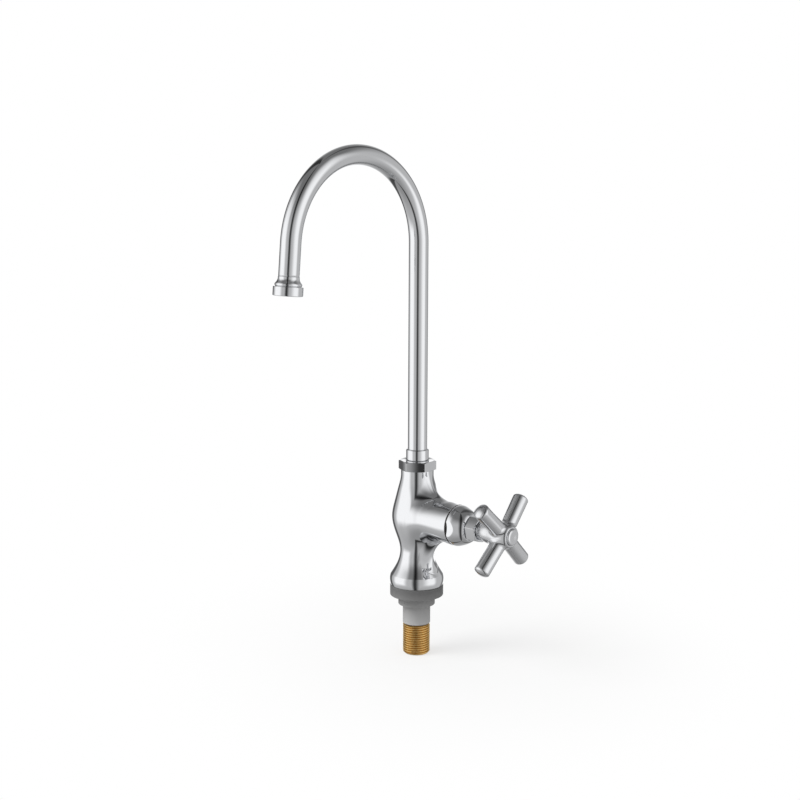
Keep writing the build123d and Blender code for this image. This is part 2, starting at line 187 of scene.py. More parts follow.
# Spout
tube_r = (node_high("spout_tube")[0] - node_low("spout_tube")[0]) / 2
tube_wall = 1.0
bend_r = 65.1
bend_centre_z = 271.6
outlet_tilt = 5.0
leg_length = 24.4
tube_bottom = node_low("spout_tube")[2]
spout_nut_flats = 25.6
spout_nut_top = node_high("spout_nut")[2]
spout_nut_lip = 2.0
spout_nut_turn = 35.5
spout_tail_bottom = node_low("spout_tail")[2]
spout_tail_r = 8.25
spout_tail_bore_r = 5.8
spout_tail_flange_heights = (102.35, 104.25)
spout_tail_flange_r = 9.9
spout_collar_r = 8.8
spout_collar_rim = (0.6, 0.8)
spout_collar_top = node_high("spout_tail")[2]
groove_floor_r = 6.45
groove_width = 2.25
groove_places = (84.0, 93.0)
bell_overlap = 1.5
bell_top_r = 7.65
bell_neck = (7.75, 0.2)
bell_skirt = (9.1, 2.5)
bell_r = 9.75
bell_full_from = 3.9
bell_rim = (0.1, 0.8)
bell_thread_r = 9.3
bell_thread_heights = (5.0, 8.4)
bell_bore_r = 7.6
tube_stop = 0.8
housing_from = 5.2
housing_to = 11.8
housing_r = 10.75
housing_lip = 0.6
housing_lip_r = 8.3
housing_lip_edge = 0.15
mesh_from = 10.3
mesh_pitch = 1.15
mesh_wire_r = 0.19
mesh_play = 0.2
wire_taper = 8

# Deck collar and inlet tail
flange_r = node_high("deck_collar")[0]
spigot_r = 14.2
spigot_bottom = -7.5
sleeve_r = 10.65
sleeve_bottom = node_low("deck_collar")[2]
collar_bore_r = 8.5
collar_edges_upward = (0.35, 0.3, 0.5, 0.3, 0.45, 0.4)
tail_bottom = node_low("inlet_tail")[2]
tail_top = node_high("inlet_tail")[2]
tail_neck_r = 8.4
tail_grip_r = 8.33
thread_top = -22.9
thread_r = 10.48
thread_pitch = 1.814
thread_depth = 1.16
thread_fullness = 1.35
thread_crease = 0.05
thread_low_cone = (-0.35, 1.1)
thread_high_cone = (0.2, 1.6)
tail_end_inset = 0.55
tail_edge = 0.4
waterway_r = 6.0


def spline(points, start, end, count):
    """Smooth outline through a few points.

    A cubic between each pair of points, with the chord as its parameter, whose slopes at the inner
    points make the curvature run on, and whose end slopes are the given directions.
    """
    points = np.array(points, float)
    start = np.array(start, float) / np.hypot(*start)
    end = np.array(end, float) / np.hypot(*end)
    knots = np.concatenate([[0], np.cumsum(np.linalg.norm(np.diff(points, axis=0), axis=1))])
    h = np.diff(knots)[:, None]
    rise = np.diff(points, axis=0) / h
    n = len(points)
    system = np.eye(n)
    right = np.zeros((n, 2))
    right[0], right[-1] = start, end
    inner = np.arange(1, n - 1)
    system[inner, inner - 1] = h[1:, 0]
    system[inner, inner] = 2 * (h[1:, 0] + h[:-1, 0])
    system[inner, inner + 1] = h[:-1, 0]
    right[1:-1] = 3 * (h[1:] * rise[:-1] + h[:-1] * rise[1:])
    slope = np.linalg.solve(system, right)
    at = np.linspace(0, knots[-1], count)
    i = np.clip(np.searchsorted(knots, at, side="right") - 1, 0, n - 2)
    t = ((at - knots[i]) / h[i, 0])[:, None]
    return (
        (1 + 2 * t) * (1 - t) ** 2 * points[i]
        + t * (1 - t) ** 2 * h[i] * slope[i]
        + t ** 2 * (3 - 2 * t) * points[i + 1]
        + t ** 2 * (t - 1) * h[i] * slope[i + 1]
    )


def rounded(corners, closed=False, step=2.5, support=0.12):
    """Outline from (radius, height, rounding) corners.

    Each corner becomes an arc tangent to its two sides, and each side gets a point close to either
    arc and further points at most a step apart, so that a bright edge stays narrow.
    """
    most_of_side = 0.45
    arc_step = 0.2
    places = np.array([c[:2] for c in corners], float)
    rounding = [c[2] if len(c) > 2 else 0.0 for c in corners]
    n = len(places)
    runs = []
    for i in range(n):
        here = places[i]
        before, after = places[i - 1] - here, places[(i + 1) % n] - here
        if rounding[i] == 0 or (not closed and i in (0, n - 1)):
            runs.append(here[None])
            continue
        a, b = before / np.hypot(*before), after / np.hypot(*after)
        half = math.acos(np.clip(a @ b, -1, 1)) / 2
        shorter = min(np.hypot(*before), np.hypot(*after))
        reach = min(rounding[i] / math.tan(half), most_of_side * shorter)
        radius = reach * math.tan(half)
        centre = here + (a + b) / np.hypot(*(a + b)) * radius / math.sin(half)
        first, last = here + a * reach - centre, here + b * reach - centre
        turn = math.pi - 2 * half
        q = np.linspace(0, 1, max(4, int(turn / arc_step)) + 1)[:, None]
        runs.append(centre + (np.sin((1 - q) * turn) * first + np.sin(q * turn) * last) / math.sin(turn))
    pieces = []
    for i in range(n if closed else n - 1):
        start, end = runs[i][-1], runs[(i + 1) % n][0]
        length = np.hypot(*(end - start))
        pieces.append(runs[i])
        if length > 4 * support:
            q = np.linspace(0, 1, max(1, int(length / step)) + 1)
            q = np.unique(np.concatenate([q[1:-1], [support / length, 1 - support / length]]))[:, None]
            pieces.append(start + q * (end - start))
    pieces.append(runs[0][:1] if closed else runs[-1])
    return np.concatenate(pieces)


def polar(radius, angle, height):
    """Points from radii, angles and heights, which spread over one grid."""
    return np.stack(np.broadcast_arrays(radius * np.cos(angle), radius * np.sin(angle), height), axis=-1)


def turned(outline, angles):
    """Surface of revolution about Z: each outline point's radius is laid out at each angle."""
    outline = np.asarray(outline)
    return polar(outline[:, 0], angles[:, None], outline[:, 1])


def around(count, start=0.0):
    """Angles of a full turn, the last the same place as the first."""
    return math.radians(start) + np.linspace(0, 2 * math.pi, count + 1)


def soft_least(values, softness):
    """Least of several surfaces, with the crease between them rounded over about the softness."""
    values = np.stack(np.broadcast_arrays(*values))
    least = values.min(axis=0)
    return least - softness * np.log(np.exp(-(values - least) / softness).sum(axis=0))


def on_valve(points):
    """From a piece made about Z to the valve axis: height becomes X, X becomes -Z."""
    return np.stack([points[..., 2], points[..., 1], valve_z - points[..., 0]], axis=-1)


def on_outflow(points):
    """From a piece made about Z to the outlet: height 0 at the tube's end, growing along the outflow."""
    turn = math.radians(180 - outlet_tilt)
    down = np.array([0, -math.sin(turn), math.cos(turn)])
    end = np.array([0, -bend_r * (1 - math.cos(turn)), bend_centre_z + bend_r * math.sin(turn)])
    across = np.cross(down, [1, 0, 0])
    middle = end + down * (leg_length + points[..., 2:3])
    return middle + points[..., 0:1] * [1, 0, 0] + points[..., 1:2] * across


def branched(outline, window, turn, half_turn, height, lean, branch_r, blend, cells):
    """A round branch that grows out of a surface of revolution about Z, with a rolled blend.

    A ball of the blend's radius touches both: its centre lies on a circle of branch radius plus
    blend round the branch's axis, and at the blend's distance outside the outline.  The ball's path
    gives one touching point on the column and one on the branch for each direction round the
    branch.  One patch runs from the window's edge to the column's touching points, and one over
    the ball's arcs.  With them come a function that lays points round the branch, the touching
    points' distances along its axis, and the heights of the window's side edges.
    """
    outline_samples, centre_samples, halvings = 5000, 3000, 50
    skirt_rows, arc_rows = 15, 31

    # The outline, sampled evenly along its length
    steps = np.hypot(*np.diff(outline, axis=0).T)
    length = np.concatenate([[0], np.cumsum(steps)])
    along = np.linspace(0, length[-1], outline_samples)
    radius = np.interp(along, length, outline[:, 0])
    level = np.interp(along, length, outline[:, 1])
    low, high = (np.interp(z, level, along) for z in window)

    # The window's edge once round, as turns and lengths, and its directions round the branch
    wide, tall = cells
    across = np.linspace(-1, 1, wide + 1)
    up = np.linspace(-1, 1, tall + 1)
    u = np.concatenate([np.ones(tall), across[:0:-1], -np.ones(tall), across[:-1], [1.0]])
    v = np.concatenate([up[:-1], np.ones(wide), up[:0:-1], -np.ones(wide), [-1.0]])
    edge = np.stack([u * half_turn, low + (v + 1) / 2 * (high - low)], axis=-1)
    phi = np.unwrap(np.arctan2(v, u))

    # Radius at which the ball touches the outline, for each height of its centre
    away = branch_r + blend
    lean_cos, lean_sin = math.cos(lean), math.sin(lean)
    levels = np.linspace(level[0], level[-1], centre_samples)
    gap = blend ** 2 - (levels[:, None] - level[None, ::4]) ** 2
    offset = np.where(gap > 0, radius[None, ::4] + np.sqrt(np.maximum(gap, 0)), 0).max(axis=1)

    def centre(t):
        out = t * lean_cos + away * np.sin(phi) * lean_sin
        side = away * np.cos(phi)
        return out, side, height - t * lean_sin + away * np.sin(phi) * lean_cos

    # The centre's place along the branch, by halving
    near, far = np.zeros_like(phi), np.full_like(phi, 3 * away)
    for _ in range(halvings):
        middle = (near + far) / 2
        out, side, tall_at = centre(middle)
        inside = np.hypot(out, side) < np.interp(tall_at, levels, offset)
        near, far = np.where(inside, middle, near), np.where(inside, far, middle)
    out, side, tall_at = centre(far)

    # The touching point on the outline, from a parabola through the three nearest samples
    apart = (np.hypot(out, side)[:, None] - radius) ** 2 + (tall_at[:, None] - level) ** 2
    i = np.clip(apart.argmin(axis=1), 1, len(along) - 2)
    row = np.arange(len(phi))
    left, mid, right = apart[row, i - 1], apart[row, i], apart[row, i + 1]
    touch = along[i] + (along[1] - along[0]) * (left - right) / (2 * (left - 2 * mid + right))
    touch_turn = np.arctan2(side, out)

    def on_column(angle, s):
        return polar(np.interp(s, along, radius), angle, np.interp(s, along, level))

    q = np.linspace(0, 1, skirt_rows)[:, None, None]
    spread = (1 - q) * edge + q * np.stack([touch_turn, touch], axis=-1)
    skirt = on_column(spread[..., 0], spread[..., 1])
    ball = np.stack([out, side, tall_at], axis=-1)
    around_branch = np.stack([lean_sin * np.sin(phi), np.cos(phi), lean_cos * np.sin(phi)], axis=-1)
    first = on_column(touch_turn, touch) - ball
    last = -around_branch * blend
    cosine = (first * last).sum(-1) / blend / np.linalg.norm(first, axis=-1)
    opening = np.arccos(np.clip(cosine, -1, 1))[:, None]
    q = np.linspace(0, 1, arc_rows)[:, None, None]
    arcs = ball + (np.sin((1 - q) * opening) * first + np.sin(q * opening) * last) / np.sin(opening)

    spin = np.array([[math.cos(turn), -math.sin(turn), 0], [math.sin(turn), math.cos(turn), 0], [0, 0, 1]])
    branch_axis = np.array([lean_cos, 0, -lean_sin])
    foot = np.array([0, 0, height])

    def along_branch(radii, distances):
        """Points round the branch at the given radii, a distance along its axis for each direction."""
        axis_points = foot + distances[..., None] * branch_axis
        return (axis_points + radii[..., None] * around_branch) @ spin.T

    side_levels = np.interp(np.linspace(low, high, tall + 1), along, level)
    return [skirt @ spin.T, arcs @ spin.T], along_branch, far, side_levels


def sample(outline, levels):
    """Points of an outline at the given heights."""
    return np.stack([np.interp(levels, outline[:, 1], outline[:, 0]), levels], axis=-1)


def body_patches():
    """The cast body.

    The column is a surface of revolution; a boss leaves it sideways with a rolled blend.  Near its
    root the boss is fuller sideways: Y grows by a share that eases in over the first part of the way
    along X, falls evenly to the boss's end, and eases to nothing above and below.  The tail's pocket,
    the valve chamber and the spout's socket are turned bores, each with a flat end.
    """
    foot = spline(
        [(foot_bottom_r, foot_z), (foot_r, foot_z + foot_widest), foot_top],
        start=(0.35, 1), end=(-0.35, 1), count=22,
    )
    cove = spline([foot_top, cove_mid, waist], start=(-0.6, 1.0), end=(0, 1), count=900)
    cone = spline(
        [waist, lower_cone, belly, upper_cone, shoulder, (neck_r, neck_bottom)],
        start=(0, 1), end=(0, 1), count=1800,
    )
    smooth = np.concatenate([cove[:-1], cone, [(neck_r, neck_top)]])
    cells = (96, 84)
    half = math.radians(column_window_turn)
    patches, along_boss, touch, levels = branched(
        smooth, column_window_heights, turn=0.0, half_turn=half, height=valve_z + boss_root_rise, lean=0.0,
        branch_r=boss_root_r, blend=boss_blend, cells=cells,
    )
    window = sample(smooth, levels)
    front = np.linspace(-half, half, cells[0] + 1)
    back = np.linspace(half, 2 * math.pi - half, 145)
    full = np.concatenate([front[:-1], back])
    pocket = rounded([
        (0, inlet_top), (inlet_r, inlet_top), (inlet_r, tail_top), (tail_pocket_r, tail_top),
        (tail_pocket_r, foot_z), (foot_bottom_r, foot_z),
    ])
    socket = rounded([
        (neck_r, column_window_heights[1]), (neck_r, neck_top, turned_edge), (socket_thread_r, neck_top),
        (socket_thread_r, socket_top, crisp_edge), (socket_r, socket_top, crisp_edge),
        (socket_r, socket_bottom), (0, socket_bottom),
    ])
    # Outside the window, every ninth point of the cove is enough
    low_cove = cove[cove[:, 1] < column_window_heights[0]][1::9]
    below = np.concatenate([pocket, foot[1:], low_cove, window[:1]])
    above = np.concatenate([window[-1:], socket[1:]])
    patches.append(turned(window, back))

    lip = boss_end - boss_edge
    barrel = np.linspace(0, 1, 25)[:, None]
    ease = barrel ** 2 * (3 - 2 * barrel)
    radii = boss_root_r + ease * (boss_end_r - boss_root_r) + 0 * touch
    boss = along_boss(radii, touch + barrel * (lip - touch))
    boss[..., 2] -= ease * boss_root_rise
    patches.append(boss)

    full_within, none_beyond = boss_swell_reach
    for patch in patches:
        along = np.clip(patch[..., 0] / lip, 0, 1)
        rise = np.minimum(along / boss_swell_full_from, 1)
        swell = rise ** 3 * (6 * rise ** 2 - 15 * rise + 10) * (1 - along)
        away = np.abs(patch[..., 2] - valve_z - boss_root_rise)
        near = 1 - np.clip((away - full_within) / (none_beyond - full_within), 0, 1)
        patch[..., 1] *= 1 + boss_swell * swell * near ** 2 * (3 - 2 * near)
    patches += [turned(below, full), turned(above, full)]
    mouth = rounded([
        (boss_end_r, lip), (boss_end_r, boss_end, boss_edge_rounding),
        (bonnet_thread_r, boss_end, turned_edge), (bonnet_thread_r, bonnet_thread_from),
        (chamber_r, bonnet_thread_from), (chamber_r, chamber_from), (0, chamber_from),
    ])
    ones = np.ones(len(touch))
    bores = along_boss(mouth[:, :1] * ones, mouth[:, 1:] * ones)
    bores[..., 2] -= boss_root_rise
    patches.append(bores)
    return patches


def handle_patches():
    """The cross handle.

    The hub is a surface of revolution about the valve axis.  Four round arms leave it a quarter turn
    apart with rolled blends, lean back a little, and end in low domes.
    """
    hub = spline(
        [(hub_neck_r, hub_from), hub_low, hub_middle, (hub_r, arm_x), hub_shoulder, (hub_face_r, hub_front)],
        start=(0.1, 1), end=(-1, 0.6), count=1600,
    )
    cells = (48, 48)
    half = math.radians(180 / arm_count)
    patches = []
    shoulder_out, shoulder_down = arm_dome_shoulder_shares
    dome = spline(
        [
            (arm_tip_r, arm_reach - arm_dome),
            (shoulder_out * arm_tip_r, arm_reach - shoulder_down * arm_dome),
            (0, arm_reach),
        ],
        start=(0, 1), end=(-1, 0), count=18,
    )
    for number in range(arm_count):
        turn = math.radians(arm_turn + 360 / arm_count * number)
        grown, along_arm, touch, levels = branched(
            hub, (hub_window, hub_front), turn, half_turn=half, height=arm_x, lean=math.radians(arm_lean),
            branch_r=arm_root_r, blend=arm_blend, cells=cells,
        )
        ones = np.ones(len(touch))
        q = np.linspace(0, 1, 17)[:, None]
        radii = arm_root_r + q * (arm_tip_r - arm_root_r)
        arm = along_arm(radii * ones, touch + q * (arm_reach - arm_dome - touch))
        tip = along_arm(dome[:, :1] * ones, dome[:, 1:] * ones)
        patches += grown + [arm, tip]
    full = math.radians(arm_turn) + np.linspace(-half, 2 * math.pi - half, arm_count * cells[0] + 1)
    back = np.concatenate([
        rounded([
            (stem_hole_r, square_to), (stem_hole_r, square_from), (handle_bore_r, square_from),
            (handle_bore_r, hub_from), (hub_neck_r, hub_from),
        ]),
        hub[hub[:, 1] < hub_window][1::12],
        sample(hub, levels[:1]),
    ])
    seat_r = index_r + thread_play
    front = np.array([
        (hub_face_r, hub_front), (seat_r, hub_front), (seat_r, hub_front - index_seat),
        (screw_pocket_r, hub_front - index_seat), (screw_pocket_r, screw_seat), (screw_hole_r, screw_seat),
        (screw_hole_r, square_to), (stem_hole_r, square_to),
    ])
    patches += [turned(back, full), turned(front, full)]
    return [on_valve(p) for p in patches]


def nut_bore(inner_r, outer_r, top, floor, bottom):
    """Outline of a nut's inside: a plain hole over a wider thread, each with its room."""
    hole_r = inner_r + bore_play
    wide_r = outer_r + thread_play
    return [(hole_r, top), (hole_r, floor), (wide_r, floor), (wide_r, bottom)]


def hexagon_nut(flats, low, high, chamfers, turn, bore):
    """A hexagon nut.

    The radius is the least of six flats and of a 30 degree cone at either end, with softened creases.
    A flat's radius is half the width over a power of the cosine of the angle from its middle; a power
    a little under one crowns it, as buffing does.  The ends turn over small curves into flat faces,
    and the outline of the bore, from the top down, closes the ring.
    """
    angles = around(540, turn)[:, None]
    corner_r = flats / math.sqrt(3)
    off_middle = (angles - math.radians(turn)) % (math.pi / 3) - math.pi / 6
    sides = flats / 2 / np.cos(off_middle) ** nut_crown
    cone = 1 / math.tan(math.radians(nut_cone_angle))

    def outside(z):
        low_cone = corner_r - chamfers[0] + (z - low) * cone
        high_cone = corner_r - chamfers[1] + (high - z) * cone
        return soft_least([sides + 0 * z, low_cone + 0 * sides, high_cone + 0 * sides], nut_edge / 3)

    # Weights of the quadratic curves over both ends
    q = np.linspace(0, 1, 6)[None]
    start, middle, end = (1 - q) ** 2, 2 * q * (1 - q), q ** 2
    z = np.linspace(low + nut_edge, high - nut_edge, 34)[None]
    r_low, r_high = outside(np.array([[low]])), outside(np.array([[high]]))
    face_low, face_high = r_low - nut_edge, r_high - nut_edge
    bore = np.array(bore)
    level = 0 * angles
    r = np.concatenate([
        bore[-1, 0] + level,
        face_low - nut_face_margin,
        start * face_low + middle * r_low + end * outside(z[:, :1]),
        outside(z),
        start * outside(z[:, -1:]) + middle * r_high + end * face_high,
        face_high - nut_face_margin,
        bore[:, 0] + level,
    ], axis=1)
    z = np.concatenate([
        low + level,
        low + level,
        (start + middle) * low + end * (low + nut_edge) + level,
        z + level,
        start * (high - nut_edge) + (middle + end) * high + level,
        high + level,
        bore[:, 1] + level,
    ], axis=1)
    return polar(r, angles, z)


def bonnet_patches():
    """The headwork cover.

    A surface of revolution about the valve axis whose radius is the least of its outline and of two
    spanner flats, each half their distance over the sine of the angle round the axis.  The spigot and
    the bores stay round.
    """
    least_sine = 0.3
    slack = 0.01
    rim_top = seating + bonnet_rim_h
    rim_low = (bonnet_r - bonnet_edge, seating)
    rim = spline([rim_low, (bonnet_r, rim_top)], start=(1, 0.4), end=(0, 1), count=10)
    dome = spline(
        [(bonnet_r, rim_top), bonnet_dome_low, bonnet_dome_high, (bonnet_dome_end_r, bonnet_dome_end)],
        start=(0, 1), end=(-0.9, 0.5), count=46,
    )
    nose_r = bonnet_thread_r - thread_play
    inner = rounded([
        (bonnet_dome_end_r, bonnet_dome_end), (gland_spigot_r, bonnet_dome_end),
        (gland_spigot_r, gland_spigot_end, crisp_edge), (gland_bore_r, gland_spigot_end, crisp_edge),
        (gland_bore_r, gland_bore_from), (stem_hole_r, gland_bore_from), (stem_hole_r, bonnet_bore_to),
        (bonnet_bore_r, bonnet_bore_to), (bonnet_bore_r, bonnet_mouth_to), (bonnet_mouth_r, bonnet_mouth_to),
        (bonnet_mouth_r, bonnet_nose), (nose_r, bonnet_nose, turned_edge), (nose_r, seating), rim_low,
    ])
    outline = np.concatenate([rim, dome[1:], inner[1:]])
    angles = around(480)[:, None]
    flat = bonnet_flats / 2 / np.maximum(np.abs(np.sin(angles)), least_sine)
    r = outline[:, 0]
    r = np.where(r > bonnet_dome_end_r - slack, soft_least([r, flat], bonnet_crease), r)
    return [on_valve(polar(r, angles, outline[:, 1]))]


def tube_patches():
    """The swan neck: a circle carried up the riser, round a bend in the YZ plane and down the leg."""
    turn = math.radians(180 - outlet_tilt)
    bend = np.linspace(0, turn, 126)
    rise = np.linspace(tube_bottom, bend_centre_z, 24)[:-1]
    leg = np.linspace(0, leg_length, 8)[1:]
    leg_y = -bend_r * (1 - math.cos(turn)) - leg * math.sin(turn)
    leg_z = bend_centre_z + bend_r * math.sin(turn) + leg * math.cos(turn)
    y = np.concatenate([0 * rise, -bend_r * (1 - np.cos(bend)), leg_y])
    z = np.concatenate([rise, bend_centre_z + bend_r * np.sin(bend), leg_z])
    lean = np.concatenate([0 * rise, bend, np.full(len(leg), turn)])
    angles = around(96)[None]

    def wall(radius):
        across = radius * np.sin(angles)
        return np.stack([
            radius * np.cos(angles) + 0 * y[:, None],
            y[:, None] + across * np.cos(lean)[:, None],
            z[:, None] + across * np.sin(lean)[:, None],
        ], axis=-1)

    outer, inner = wall(tube_r), wall(tube_r - tube_wall)
    return [outer, inner, np.stack([outer[0], inner[0]]), np.stack([outer[-1], inner[-1]])]


def spout_tail_patches():
    """The spout's turned foot: ring grooves in the socket, flange under the nut, collar round the tube."""
    low, high = spout_tail_flange_heights
    rim_in, rim_down = spout_collar_rim
    corners = [(spout_tail_bore_r, spout_tail_bottom), (spout_tail_r, spout_tail_bottom, turned_edge)]
    for place in groove_places:
        under, over = place - groove_width / 2, place + groove_width / 2
        corners += [
            (spout_tail_r, under), (groove_floor_r, under), (groove_floor_r, over), (spout_tail_r, over),
        ]
    corners += [
        (spout_tail_r, low), (spout_tail_flange_r, low, crisp_edge), (spout_tail_flange_r, high, crisp_edge),
        (spout_collar_r, high), (spout_collar_r, spout_collar_top - rim_down, soft_edge),
        (spout_collar_r - rim_in, spout_collar_top, turned_edge), (tube_r, spout_collar_top),
        (tube_r, tube_bottom), (spout_tail_bore_r, tube_bottom),
    ]
    return [turned(rounded(corners, closed=True, step=4.0), around(144))]


def bell_patches():
    """The bell brazed on the tube's end, a bellied skirt over a short thread neck."""
    skirt = spline(
        [(bell_top_r, -bell_overlap), bell_neck, bell_skirt, (bell_r, bell_full_from)],
        start=(0, 1), end=(0, 1), count=34,
    )
    thread_from, thread_to = bell_thread_heights
    rim_in, rim_down = bell_rim
    rest = rounded([
        (bell_r, bell_full_from), (bell_r - rim_in, bell_full_from + rim_down, turned_edge),
        (bell_thread_r, thread_from, crisp_edge / 2), (bell_thread_r, thread_to, crisp_edge),
        (bell_bore_r, thread_to), (bell_bore_r, tube_stop), (tube_r - tube_wall, tube_stop),
        (tube_r - tube_wall, 0), (tube_r, 0), (tube_r, -bell_overlap), (bell_top_r, -bell_overlap),
    ])
    return [on_outflow(turned(np.concatenate([skirt, rest[1:]]), around(144)))]


def housing_patches():
    """The ring that holds the aerator: a short cylinder with rounded edges and an inner lip."""
    bore_r = bell_thread_r + thread_play
    lip_from = housing_to - housing_lip
    outline = rounded([
        (bore_r, housing_from), (housing_r, housing_from, soft_edge), (housing_r, housing_to, soft_edge),
        (housing_lip_r, housing_to, housing_lip_edge), (housing_lip_r, lip_from), (bore_r, lip_from),
    ], closed=True)
    return [on_outflow(turned(outline, around(180)))]


def aerator_mesh_patches():
    """Woven wires across the outlet.

    Each wire is a small hexagon carried along a chord of the disc, and waves over and under the
    wires that it crosses: its height is a cosine whose half wave is the mesh's pitch.  It tapers to
    a point at both ends.
    """
    disc_r = bell_thread_r - mesh_play
    count = int(disc_r / mesh_pitch)
    angles = around(6)[None]
    patches = []
    for n in range(-count, count + 1):
        side = n * mesh_pitch
        reach = math.sqrt(disc_r ** 2 - side ** 2)
        run = np.linspace(-reach, reach, 61)[:, None]
        for warp in (0, 1):
            wave = mesh_wire_r * np.cos(math.pi * (run / mesh_pitch + n + warp))
            radius = mesh_wire_r * np.clip((reach - np.abs(run)) * wire_taper, 0, 1)
            across = side + radius * np.cos(angles)
            high = mesh_from + 2 * mesh_wire_r + wave + radius * np.sin(angles)
            axes = [run + 0 * across, across, high] if warp else [across, run + 0 * across, high]
            patches.append(on_outflow(np.stack(axes, axis=-1)))
    return patches


def collar_patches():
    """The grey deck collar: flange, spigot and sleeve turned from one outline with moulded roundings."""
    corners = [
        (sleeve_r, sleeve_bottom), (sleeve_r, spigot_bottom), (spigot_r, spigot_bottom),
        (spigot_r, 0), (flange_r, 0), (flange_r, foot_z),
    ]
    outline = rounded([
        (collar_bore_r, sleeve_bottom),
        *[(*corner, edge) for corner, edge in zip(corners, collar_edges_upward)],
        (collar_bore_r, foot_z),
    ], closed=True)
    return [turned(outline, around(192))]


def inlet_tail_patches():
    """The brass tail.

    Its thread is a helix: the radius at an angle and height follows a rounded ridge whose phase is the
    height over the pitch less the share of a turn, cut off by a cone at either end.  A cone is its
    first radius, from the root or the neck, and its slope.
    """
    turns = around(216)
    angles = turns[None]
    z = np.linspace(tail_bottom, thread_top, 330)[:, None]
    phase = z / thread_pitch - angles / (2 * math.pi)
    ridge = 0.5 + 0.5 * np.clip(thread_fullness * np.cos(2 * math.pi * phase), -1, 1)
    root = thread_r - thread_depth
    thread = root + thread_depth * ridge
    low_cone = root + thread_low_cone[0] + (z - tail_bottom) * thread_low_cone[1] + 0 * angles
    high_cone = tail_neck_r + thread_high_cone[0] + (thread_top - z) * thread_high_cone[1] + 0 * angles
    r = soft_least([thread, low_cone, high_cone], thread_crease)
    threaded = polar(r, angles, z)
    plain = turned(rounded([
        (tail_neck_r, thread_top), (tail_neck_r, foot_z), (tail_grip_r, foot_z),
        (tail_grip_r, tail_top, tail_edge), (waterway_r, tail_top), (waterway_r, tail_bottom + tail_edge),
        (waterway_r + tail_edge, tail_bottom), (root - tail_end_inset, tail_bottom),
    ], step=6.0), turns).swapaxes(0, 1)
    return [threaded, np.concatenate([threaded[-1:], plain, threaded[:1]])]


def index_patches():
    """The plain index disc: a low dome over a short wall."""
    low = hub_front - index_seat
    rim, middle = (index_r, hub_front + index_edge), (0, hub_front + index_rise)
    wall = rounded([(0, low), (index_r, low, crisp_edge), rim])
    dome = spline([rim, middle], start=(-0.2, 1), end=(-1, 0), count=22)
    return [on_valve(turned(np.concatenate([wall, dome[1:]]), around(144)))]


def grid_faces(rows, columns, start=0):
    """Corners of every cell of a grid whose points are numbered row by row."""
    corner = start + np.arange((rows - 1) * columns).reshape(rows - 1, columns)[:, :-1].ravel()
    return np.stack([corner, corner + 1, corner + columns + 1, corner + columns], axis=-1)


def welded(name, points, faces, outward=False):
    """A mesh with its doubles merged and, on request, its faces turned outward."""
    weld_distance = 1e-6
    mesh = bpy.data.meshes.new(name)
    mesh.from_pydata(points, [], faces.tolist())
    work = bmesh.new()
    work.from_mesh(mesh)
    bmesh.ops.remove_doubles(work, verts=work.verts, dist=weld_distance)
    if outward:
        bmesh.ops.recalc_face_normals(work, faces=work.faces)
    work.to_mesh(mesh)
    work.free()
    return mesh


def put(name, data):
    """A new object in the scene."""
    thing = bpy.data.objects.new(name, data)
    bpy.context.scene.collection.objects.link(thing)
    return thing


def piece(name, patches, body, node, finish):
    """One object from its patches: every cell becomes a face, doubles merge, and faces turn outward."""
    points = []
    faces = []
    start = 0
    for patch in patches:
        points.append(patch.reshape(-1, 3) * MM)
        faces.append(grid_faces(*patch.shape[:2], start))
        start += len(points[-1])
    mesh = welded(name, np.concatenate(points), np.concatenate(faces), outward=True)
    mesh.polygons.foreach_set("use_smooth", np.ones(len(mesh.polygons), bool))
    mesh.materials.append(finish)
    thing = put(name, mesh)
    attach(thing, body)
    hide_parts(node)


def colour(text):
    """An sRGB hex value as linear red, green, blue and alpha."""
    values = np.array([int(text[i:i + 2], 16) for i in (1, 3, 5)]) / 255
    linear = np.where(values <= 0.04045, values / 12.92, ((values + 0.055) / 1.055) ** 2.4)
    return (*linear.tolist(), 1.0)


def add(tree, kind, inputs=None, **settings):
    """One shader node with its settings; each input is a value or the socket that feeds it."""
    node = tree.nodes.new("ShaderNode" + kind)
    for key, value in settings.items():
        setattr(node, key, value)
    for key, value in (inputs or {}).items():
        if isinstance(value, bpy.types.NodeSocket):
            tree.links.new(value, node.inputs[key])
        else:
            node.inputs[key].default_value = value
    return node


def noise(tree, place, size_mm, detail):
    """Cloudy noise whose largest lumps are about the given size."""
    inputs = {"Vector": place, "Scale": 1 / (size_mm * MM), "Detail": detail}
    return add(tree, "TexNoise", inputs).outputs["Fac"]


def remap(tree, value, levels, results=(0.0, 1.0), curve="LINEAR"):
    """A value carried from one pair of levels to another, and held at both ends."""
    inputs = dict(zip(("Value", "From Min", "From Max", "To Min", "To Max"), (value, *levels, *results)))
    return add(tree, "MapRange", inputs, interpolation_type=curve).outputs["Result"]


def calculate(tree, operation, *values, held=False):
    """One step of arithmetic; a held result stays between 0 and 1."""
    return add(tree, "Math", dict(enumerate(values)), operation=operation, use_clamp=held).outputs[0]


def mixed(tree, share, first, second):
    """Two colours mixed.  Inputs 6 and 7 of the node are its colours, and output 2 is the mixture."""
    return add(tree, "Mix", {0: share, 6: first, 7: second}, data_type="RGBA").outputs[2]


def bumped(tree, height, depth_mm, strength=1.0):
    """Normals of a surface that follows a texture up and down."""
    inputs = {"Height": height, "Strength": strength, "Distance": depth_mm * MM}
    return add(tree, "Bump", inputs).outputs["Normal"]


def new_material(name):
    """An empty material with its node tree and object coordinates."""
    material = bpy.data.materials.new(name)
    material.use_nodes = True
    tree = material.node_tree
    tree.nodes.clear()
    place = add(tree, "TexCoord").outputs["Object"]
    return material, tree, place


